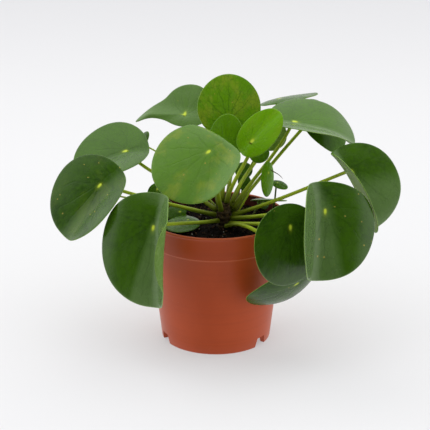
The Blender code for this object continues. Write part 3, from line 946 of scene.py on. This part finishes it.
def drain_cutter(angle):
    """A cylinder that reaches well through the pot's floor."""
    bm = bmesh.new()
    bmesh.ops.create_cone(bm, cap_ends=True, segments=32, radius1=DRAIN_RADIUS * MM,
                          radius2=DRAIN_RADIUS * MM, depth=4 * FLOOR_THICKNESS * MM)
    turn = math.radians(angle)
    middle = FLOOR_UNDERSIDE + FLOOR_THICKNESS / 2
    place = Vector((DRAIN_RING * math.cos(turn), DRAIN_RING * math.sin(turn), middle)) * MM
    bm.transform(Matrix.Translation(place))
    return mesh_from("drain_cutter", bm)


def cut(mesh, cutters):
    """The mesh with every cutter taken away from it, as plain geometry."""
    body = add_object("blank", mesh)
    tools = [add_object(cutter.name, cutter) for cutter in cutters]
    for tool in tools:
        step = body.modifiers.new(tool.name, "BOOLEAN")
        step.object = tool
        step.operation = "DIFFERENCE"
        step.solver = "EXACT"
    graph = bpy.context.evaluated_depsgraph_get()
    result = bpy.data.meshes.new_from_object(body.evaluated_get(graph))
    for obj in [body, *tools]:
        bpy.data.objects.remove(obj, do_unlink=True)
    return result


def make_pot():
    blank = turned_mesh("pot_blank", pot_profile(), 180)
    cutters = [notch_cutter(angle) for angle in NOTCH_ANGLES]
    cutters += [drain_cutter(index * 360.0 / DRAIN_COUNT) for index in range(DRAIN_COUNT)]
    mesh = cut(blank, cutters)
    mesh.name = "pot_shell"
    mesh.set_sharp_from_angle(angle=math.radians(38.0))
    # The inner wall and the floor take the painted-shade material.
    for face in mesh.polygons:  # the inner wall and the floor take the second material
        height = face.center.z / MM
        reach = face.center.xy.length / MM
        if FLOOR_UNDERSIDE < height < POT_HEIGHT - 1.0 and reach < inner_radius(height) + 0.4:
            face.material_index = 1
    materials = (pot_material(), painted_shade_inside_material())
    obj = add_piece("pot_shell", mesh, materials)
    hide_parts("pot")


def ground_height(x, y):
    """Height of the crumbly soil surface at a place, in millimetres."""
    point = Vector((x, y, 0.0))
    swell = noise.noise(point / SWELL_SPAN) * SWELL_HEIGHT
    crumbs = noise.fractal(point / CRUMBLE_SPAN, 1.0, 2.0, 4) * CRUMBLE_HEIGHT
    away = math.hypot(x - CROWN_AT.x, y - CROWN_AT.y)
    mound = MOUND_HEIGHT * math.exp(-((away / MOUND_SPAN) ** 2))
    return SOIL_TOP - 1.0 + swell + crumbs + mound


def make_soil():
    """The soil's body, with a surface of fine rings raised into crumbs."""
    shoulder = inner_radius(SOIL_TOP) - GAP
    rings = 46
    profile = [(shoulder * i / rings, SOIL_TOP) for i in range(rings)]
    floor_top = FLOOR_UNDERSIDE + FLOOR_THICKNESS + GAP
    profile += [(shoulder - 0.2, SOIL_TOP - 3.0)]
    profile += [(inner_radius(floor_top + 3.0) - GAP, floor_top + 3.0)]
    profile += [(inner_radius(floor_top) - 3.5, floor_top), (0.0, floor_top)]
    mesh = turned_mesh("soil_bed", profile, 150)
    for vert in mesh.vertices:
        if vert.co.z > (SOIL_TOP - 0.5) * MM:
            vert.co.z = ground_height(vert.co.x / MM, vert.co.y / MM) * MM
    material = soil_material("soil", rgb(0.001, 0.0008, 0.0005), rgb(0.012, 0.007, 0.005))
    obj = add_piece("soil_bed", mesh, (material,))
    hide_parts("soil")


def add_lump(bm, place, size, dice, material):
    """A rough crumb: a small ball with every corner pushed in or out."""
    squash = Matrix.Diagonal((1.0, dice.uniform(0.6, 1.0), dice.uniform(0.5, 0.9), 1.0))
    spin = Matrix.Rotation(dice.uniform(0, math.tau), 4, Vector((dice.random(), dice.random(), 1)))
    made = bmesh.ops.create_icosphere(bm, subdivisions=1, radius=size * MM)["verts"]
    for vert in made:
        vert.co *= dice.uniform(0.72, 1.25)
        vert.co = (Matrix.Translation(place * MM) @ spin @ squash) @ vert.co
    for face in {face for vert in made for face in vert.link_faces}:
        face.material_index = material


def soil_place(dice):
    """A place on the soil inside the pot and clear of the crown."""
    while True:
        reach = (inner_radius(SOIL_TOP) - 2.5) * math.sqrt(dice.random())
        turn = dice.uniform(0, math.tau)
        x, y = reach * math.cos(turn), reach * math.sin(turn)
        if math.hypot(x - CROWN_AT.x, y - CROWN_AT.y) > CROWN_RADIUS + 1.5:
            return x, y


def make_crumbs():
    """Loose crumbs of peat, bits of bark and a few white grains, all sunk in the surface."""
    dice = random.Random(5)
    bm = bmesh.new()
    for index in range(CRUMB_COUNT):
        x, y = soil_place(dice)
        size = 0.35 + 1.25 * dice.random() ** 3
        if index < WHITE_GRAINS:
            kind = 2
            size = dice.uniform(0.4, 0.9)
        else:
            kind = 1 if dice.random() < BROWN_SHARE else 0
        place = Vector((x, y, ground_height(x, y) + size * 0.25))
        add_lump(bm, place, size, dice, kind)
    mesh = mesh_from("soil_crumbs", bm)
    mesh.shade_flat()
    dark = soil_material("crumb_dark", rgb(0.003, 0.002, 0.0015), rgb(0.018, 0.010, 0.006))
    brown = soil_material("crumb_brown", rgb(0.024, 0.012, 0.007), rgb(0.130, 0.072, 0.044))
    white = soil_material("crumb_white", rgb(0.35, 0.34, 0.31), rgb(0.60, 0.58, 0.54))
    add_piece("soil_crumbs", mesh, (dark, brown, white))


def crown_radius(height):
    """Radius of the woody stem, with a swelling at each ring of old leaf scars."""
    above = height - SOIL_TOP
    ring = 0.5 * (1.0 + math.cos(math.tau * above / SCAR_SPACING))
    taper = CROWN_RADIUS - SCAR_HEIGHT - 0.10 * above
    return taper + SCAR_HEIGHT * ring ** 2


def make_crown():
    """The woody stem, ringed with leaf scars and roughened all over."""
    top = CROWN_TOP - 0.8
    profile = [(0.0, top + 0.8), (CROWN_TOP_REACH, top + 0.4), (crown_radius(top) - 0.8, top)]
    steps = 60
    low = SOIL_TOP - CROWN_ROOT
    for index in range(1, steps + 1):
        z = top - (top - low) * index / steps
        profile.append((min(crown_radius(z), CROWN_RADIUS), z))
    profile += [(3.0, low - 1.0), (0.0, low - 1.0)]
    mesh = turned_mesh("crown_stem", profile, 64)
    for vert in mesh.vertices:
        rough = noise.fractal(vert.co / (2.4 * MM), 1.0, 2.0, 4)
        vert.co.xy *= 1.0 + 0.07 * rough
        vert.co += CROWN_AT * MM
    bark = bark_material("crown_bark", rgb(0.014, 0.008, 0.004), rgb(0.09, 0.055, 0.018))
    obj = add_piece("crown_stem", mesh, (bark,))
    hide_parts("crown")


def grid_rim(grid):
    """The vertices round a grid's edge, in order."""
    right = [row[-1] for row in grid[1:]]
    left = [row[0] for row in grid[-2:0:-1]]
    return grid[0] + right + grid[-1][-2::-1] + left


def add_scale(bm, turn, height, length, width, flare):
    """A dry pointed scale that clasps the crown below a stalk and leans out at its tip."""
    out = Vector((math.cos(turn), math.sin(turn), 0.0))
    side = Vector((-out.y, out.x, 0.0))
    base = CROWN_AT + out * (crown_radius(height) - 0.5) + Vector((0, 0, height))
    columns, rows = 5, 6
    faces = []
    for face_of in (0.0, 0.35):
        grid = []
        for row in range(rows):
            v = row / (rows - 1)
            spread = width * (1.0 - v ** 1.6) + 0.08
            line = []
            for column in range(columns):
                u = column / (columns - 1) * 2 - 1
                lean = flare * v * v - 0.9 * u * u * (1.0 - v)
                point = base + out * (lean + face_of) + side * (u * spread)
                point.z += v * length
                line.append(bm.verts.new(point * MM))
            grid.append(line)
        faces.append(grid)
    inner, outer = faces
    for grid, flip in ((inner, True), (outer, False)):
        for row in range(rows - 1):
            for column in range(columns - 1):
                quad = (grid[row][column], grid[row][column + 1],
                        grid[row + 1][column + 1], grid[row + 1][column])
                bm.faces.new(tuple(reversed(quad)) if flip else quad)
    rims = list(zip(grid_rim(inner), grid_rim(outer)))
    for (near, far), (near_next, far_next) in zip(rims, rims[1:] + rims[:1]):
        bm.faces.new((near, near_next, far_next, far))


def make_scales():
    """Dry scales that climb the crown in a spiral."""
    dice = random.Random(23)
    bm = bmesh.new()
    for index in range(SCALE_COUNT):
        turn = math.radians(GOLDEN_ANGLE * index + dice.uniform(-12, 12))
        height = SOIL_TOP + 0.8 + index * SCALE_SPACING
        add_scale(bm, turn, height, dice.uniform(3.5, 6.0), dice.uniform(1.3, 2.2),
                  dice.uniform(0.5, 1.8))
    bmesh.ops.recalc_face_normals(bm, faces=bm.faces)
    mesh = mesh_from("crown_scales", bm)
    dry = bark_material("crown_scale", rgb(0.035, 0.016, 0.007), rgb(0.17, 0.10, 0.035))
    add_piece("crown_scales", mesh, (dry,))


# ---------------------------------------------------------------- stage


def toward_camera():
    """The direction from the plant to the place where the camera stands at rest."""
    tilt = math.radians(CAMERA_ELEVATION)
    return Vector((0.0, -math.cos(tilt), math.sin(tilt)))


def make_floor():
    """A wide floor, which glossy surfaces do not mirror."""
    bm = bmesh.new()
    bmesh.ops.create_grid(bm, x_segments=8, y_segments=8, size=30.0)
    obj = add_object("studio_floor", mesh_from("studio_floor", bm))
    obj.data.materials.append(floor_material())
    obj.visible_glossy = False


def make_world():
    """White studio walls with a bright ceiling, which the plant mirrors only at its sides.

    The room in front of the plant is dark, so that glossy faces turned to it stay deep.
    """
    world = bpy.data.worlds.new("studio")
    world.use_nodes = True
    world.cycles.sampling_method = "NONE"
    bpy.context.scene.world = world
    graph = Nodes(world.node_tree)
    direction = graph.add("ShaderNodeTexCoord").outputs["Generated"]
    x, y, z = graph.split(direction)
    walls = graph.smooth(y, -0.95, -0.15, 0.18, 1.14)
    ceiling = graph.smooth(z, 0.45, 0.9, 0.0, 0.50)
    sides = graph.smooth(graph.math("ABSOLUTE", x), 0.55, 1.0, 0.0, 0.45)
    room = graph.plus(walls, ceiling, sides)
    front = graph.add("ShaderNodeVectorMath", operation="DOT_PRODUCT")
    graph.put(front.inputs[0], direction)
    front.inputs[1].default_value = toward_camera()
    mirrored = graph.smooth(front.outputs["Value"], 0.15, 0.58, 0.88, 0.0)
    rays = graph.add("ShaderNodeLightPath").outputs
    light = graph.mix(rays["Is Glossy Ray"], room, mirrored, "FLOAT")
    light = graph.mix(rays["Is Camera Ray"], light, BACKDROP, "FLOAT")
    background = world.node_tree.nodes["Background"]
    graph.put(background.inputs["Strength"], light)
    background.inputs["Color"].default_value = rgb(1.0, 1.0, 1.0)


def add_softbox(name, place, aim, size, power):
    light = bpy.data.lights.new(name, "AREA")
    light.shape = "DISK"
    light.size = size
    light.energy = power
    obj = add_object(name, light)
    obj.visible_glossy = False
    obj.location = place
    obj.rotation_euler = (aim - place).to_track_quat("-Z", "Y").to_euler()


def make_camera():
    """A long lens that looks down at the plant from the front."""
    data = bpy.data.cameras.new("camera")
    data.lens = LENS
    data.sensor_width = 36.0
    camera = add_object("camera", data)
    away = toward_camera() * CAMERA_DISTANCE * MM
    aim = AXIS + AIM * MM
    camera.location = aim + away
    camera.rotation_euler = (-away).to_track_quat("-Z", "Y").to_euler()
    bpy.context.scene.camera = camera


def main():
    rim = rim_material()
    green = stalk_material("stalk_green", rgb(0.095, 0.120, 0.003), rgb(0.35, 0.46, 0.020))
    brown = stalk_material("stalk_brown", rgb(0.090, 0.030, 0.014), rgb(0.13, 0.16, 0.035))
    for seed, (name, leaf) in enumerate(LEAVES.items()):
        make_leaf(name, leaf, seed + 1, rim)
        make_stalk(name, leaf, brown if "root" in leaf else green)
    make_tendril()
    make_pot()
    make_soil()
    make_crumbs()
    make_crown()
    make_scales()
    make_floor()
    make_world()
    centre = AXIS + AIM * MM
    add_softbox("ceiling_light", centre + Vector((-0.3, 0.2, 1.3)), centre, 1.2, 3.0)
    make_camera()
    bpy.context.scene.view_settings.view_transform = "Standard"
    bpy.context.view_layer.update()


main()
